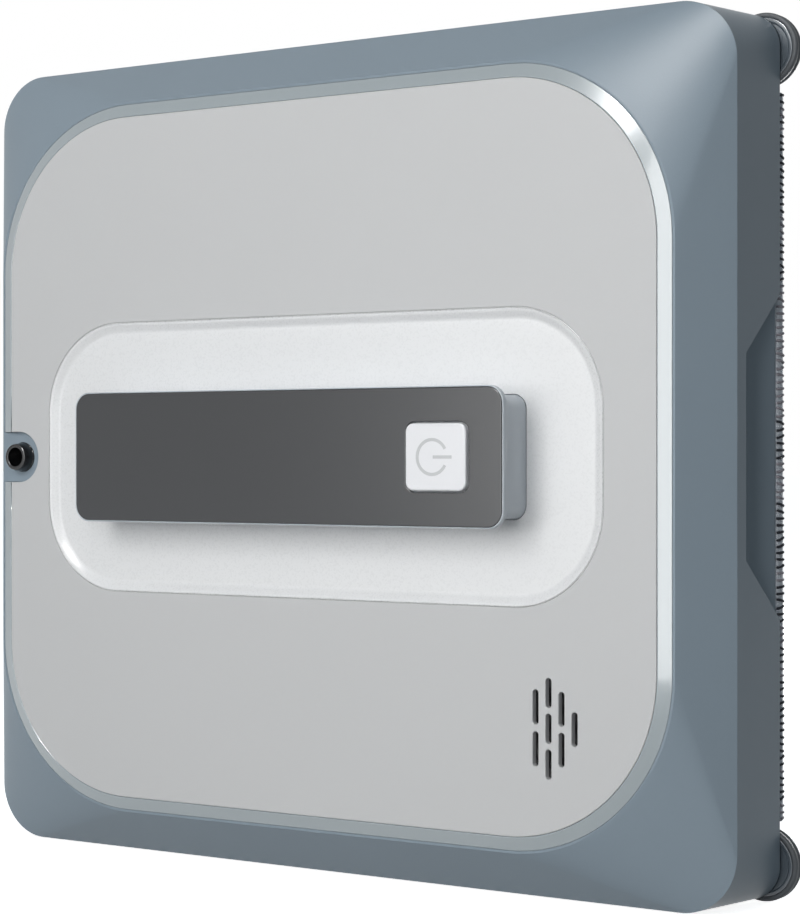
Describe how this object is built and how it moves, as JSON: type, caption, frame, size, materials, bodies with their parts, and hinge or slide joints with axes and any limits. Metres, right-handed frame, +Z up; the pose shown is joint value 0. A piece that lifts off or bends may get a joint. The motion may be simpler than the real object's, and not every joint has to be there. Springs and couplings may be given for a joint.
{
  "type": "window cleaning robot",
  "caption": "Window cleaning robot for glass: a rounded square body with a grip handle and power button in front, and a suction fan, drive tracks, corner rollers and a cloth pad at the back.",
  "frame": {"origin": "the middle of the cloth's flat face on the glass, in line with the middle of the body", "axes": "+X to the right seen from the front, +Z up, +Y into the glass: the glass is the plane Y = 0 and the handle's front is at Y = -63 mm"},
  "size_m": [0.2732, 0.063, 0.2478],
  "materials": {
    "shell_plastic": "satin moulded blue-grey plastic",
    "face_plastic": "fine matt grey plastic",
    "trim_plastic": "bright smooth plastic",
    "dish_plastic": "white smooth plastic",
    "grip_plastic": "satin grey plastic",
    "cover_plastic": "satin dark grey plastic",
    "button_plastic": "white smooth plastic",
    "icon_ink": "moulded grey inlay",
    "dome_rubber": "soft rubber",
    "board_green": "green lacquered board",
    "black_plastic": "black plastic",
    "socket_plastic": "near-black plastic",
    "contact_brass": "bright brass",
    "base_plastic": "dark matt plastic",
    "hook_fabric": "hook-and-loop strip",
    "cloth_fabric": "short-pile microfibre",
    "seal_rubber": "soft black rubber",
    "inner_plastic": "dark grey plastic",
    "motor_steel": "rolled steel can",
    "steel": "turned steel",
    "cell_wrap": "blue shrink film",
    "gear_plastic": "white engineering plastic",
    "wheel_plastic": "dark grey plastic",
    "belt_rubber": "black silicone rubber",
    "hub_plastic": "pale grey plastic",
    "roller_rubber": "dark grey rubber"
  },
  "bodies": {
    "chassis": {"outer_shell": "shell_plastic", "side_walls": "shell_plastic", "end_walls": "shell_plastic", "face_plate": "face_plastic", "plate_trim": "trim_plastic", "handle_dish": "dish_plastic", "handle_grip": "grip_plastic", "handle_cover": "cover_plastic", "button_dome": "dome_rubber", "switch_board": "board_green", "speaker": "black_plastic", "inlet_socket": "socket_plastic", "inlet_contact": "contact_brass", "base_plate": "base_plastic", "hook_strips": "hook_fabric", "cleaning_cloth": "cloth_fabric", "suction_seal": "seal_rubber", "suction_grille": "base_plastic", "fan_housing": "inner_plastic", "fan_lid": "inner_plastic", "fan_motor": "motor_steel", "main_board": "board_green", "board_chips": "black_plastic", "battery_tray": "inner_plastic", "battery_cells": "cell_wrap", "wheel_axles": "steel", "upper_gearbox": "inner_plastic", "lower_gearbox": "inner_plastic", "upper_motor": "motor_steel", "lower_motor": "motor_steel", "upper_belt": "belt_rubber", "lower_belt": "belt_rubber", "roller_pins": "steel", "edge_springs": "steel", "edge_switches": "black_plastic", "case_screws": "steel"},
    "button": {"power_button": "button_plastic", "power_icon": "icon_ink"},
    "fan_rotor": {"fan_impeller": "inner_plastic", "fan_shaft": "steel"},
    "upper_drive": {"upper_drive_wheel": "wheel_plastic", "upper_gear": "gear_plastic"},
    "upper_drive_pinion": {"upper_pinion": "contact_brass"},
    "upper_idler": {"upper_idler_wheel": "wheel_plastic"},
    "lower_drive": {"lower_drive_wheel": "wheel_plastic", "lower_gear": "gear_plastic"},
    "lower_drive_pinion": {"lower_pinion": "contact_brass"},
    "lower_idler": {"lower_idler_wheel": "wheel_plastic"},
    "roller_a": {"roller_hub_a": "hub_plastic", "roller_tyre_a": "roller_rubber"},
    "sensor_a": {"edge_pin_a": "gear_plastic"},
    "roller_b": {"roller_hub_b": "hub_plastic", "roller_tyre_b": "roller_rubber"},
    "sensor_b": {"edge_pin_b": "gear_plastic"},
    "roller_c": {"roller_hub_c": "hub_plastic", "roller_tyre_c": "roller_rubber"},
    "sensor_c": {"edge_pin_c": "gear_plastic"},
    "roller_d": {"roller_hub_d": "hub_plastic", "roller_tyre_d": "roller_rubber"},
    "sensor_d": {"edge_pin_d": "gear_plastic"}
  },
  "joints": [
    {"name": "power_button_press", "type": "slide", "parent": "chassis", "child": "button", "axis": [0, 1, 0], "range_m": [0, 0.0008], "stiffness_N_per_m": 900, "springref_m": -0.0008, "deforming": ["button_dome"]},
    {"name": "fan_spin", "type": "hinge", "parent": "chassis", "child": "fan_rotor", "pos_m": [0, -0.02, 0], "axis": [0, 1, 0], "continuous": true},
    {"name": "upper_drive_spin", "type": "hinge", "parent": "chassis", "child": "upper_drive", "pos_m": [0.064, -0.0162, 0.062], "axis": [0, 0, 1], "continuous": true},
    {"name": "upper_pinion_spin", "type": "hinge", "parent": "chassis", "child": "upper_drive_pinion", "pos_m": [0.05122, -0.021, 0.062], "axis": [0, 0, 1], "continuous": true},
    {"name": "upper_idler_spin", "type": "hinge", "parent": "chassis", "child": "upper_idler", "pos_m": [-0.064, -0.0162, 0.062], "axis": [0, 0, 1], "continuous": true},
    {"name": "lower_drive_spin", "type": "hinge", "parent": "chassis", "child": "lower_drive", "pos_m": [-0.064, -0.0162, -0.062], "axis": [0, 0, 1], "continuous": true},
    {"name": "lower_pinion_spin", "type": "hinge", "parent": "chassis", "child": "lower_drive_pinion", "pos_m": [-0.05122, -0.021, -0.062], "axis": [0, 0, 1], "continuous": true},
    {"name": "lower_idler_spin", "type": "hinge", "parent": "chassis", "child": "lower_idler", "pos_m": [0.064, -0.0162, -0.062], "axis": [0, 0, 1], "continuous": true},
    {"name": "roller_spin_a", "type": "hinge", "parent": "chassis", "child": "roller_a", "pos_m": [-0.1262, -0.0032, 0.1135], "axis": [0, 1, 0], "continuous": true},
    {"name": "roller_spin_b", "type": "hinge", "parent": "chassis", "child": "roller_b", "pos_m": [0.1262, -0.0032, 0.1135], "axis": [0, 1, 0], "continuous": true},
    {"name": "roller_spin_c", "type": "hinge", "parent": "chassis", "child": "roller_c", "pos_m": [0.1262, -0.0032, -0.1135], "axis": [0, 1, 0], "continuous": true},
    {"name": "roller_spin_d", "type": "hinge", "parent": "chassis", "child": "roller_d", "pos_m": [-0.1262, -0.0032, -0.1135], "axis": [0, 1, 0], "continuous": true},
    {"name": "edge_sensor_press_a", "type": "slide", "parent": "chassis", "child": "sensor_a", "axis": [0, -1, 0], "range_m": [0, 0.0015], "stiffness_N_per_m": 250, "springref_m": -0.001, "deforming": ["edge_springs"]},
    {"name": "edge_sensor_press_b", "type": "slide", "parent": "chassis", "child": "sensor_b", "axis": [0, -1, 0], "range_m": [0, 0.0015], "stiffness_N_per_m": 250, "springref_m": -0.001, "deforming": ["edge_springs"]},
    {"name": "edge_sensor_press_c", "type": "slide", "parent": "chassis", "child": "sensor_c", "axis": [0, -1, 0], "range_m": [0, 0.0015], "stiffness_N_per_m": 250, "springref_m": -0.001, "deforming": ["edge_springs"]},
    {"name": "edge_sensor_press_d", "type": "slide", "parent": "chassis", "child": "sensor_d", "axis": [0, -1, 0], "range_m": [0, 0.0015], "stiffness_N_per_m": 250, "springref_m": -0.001, "deforming": ["edge_springs"]}
  ],
  "couplings": [
    {"joint": "upper_pinion_spin", "follows": "upper_drive_spin", "ratio": -2.3333},
    {"joint": "upper_idler_spin", "follows": "upper_drive_spin", "ratio": 1},
    {"joint": "lower_pinion_spin", "follows": "lower_drive_spin", "ratio": -2.3333},
    {"joint": "lower_idler_spin", "follows": "lower_drive_spin", "ratio": 1}
  ]
}
